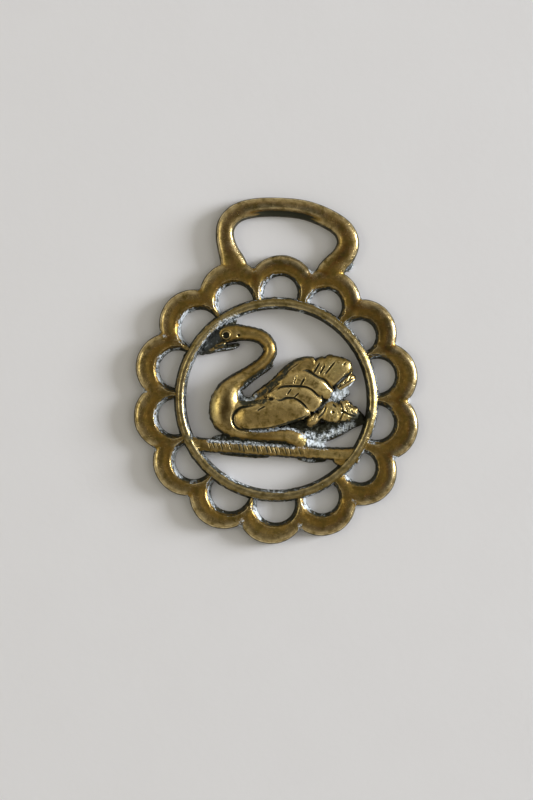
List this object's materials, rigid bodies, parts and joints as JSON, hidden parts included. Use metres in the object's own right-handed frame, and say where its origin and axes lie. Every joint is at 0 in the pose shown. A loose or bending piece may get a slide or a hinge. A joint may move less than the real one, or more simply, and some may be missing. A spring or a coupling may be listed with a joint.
{
  "type": "horse brass",
  "caption": "Cast brass harness pendant: a swimming swan in a ring, inside a pierced scalloped border, with a loop above for a strap.",
  "frame": {"origin": "centre of the ring, on the flat back", "axes": "+Y from the ring to the strap loop; +Z out of the decorated face; +X to the right, seen from the front"},
  "size_m": [0.0676, 0.0821, 0.005],
  "materials": {
    "brass": "satin"
  },
  "bodies": {
    "root": {"horse_brass": "brass"}
  },
  "joints": []
}
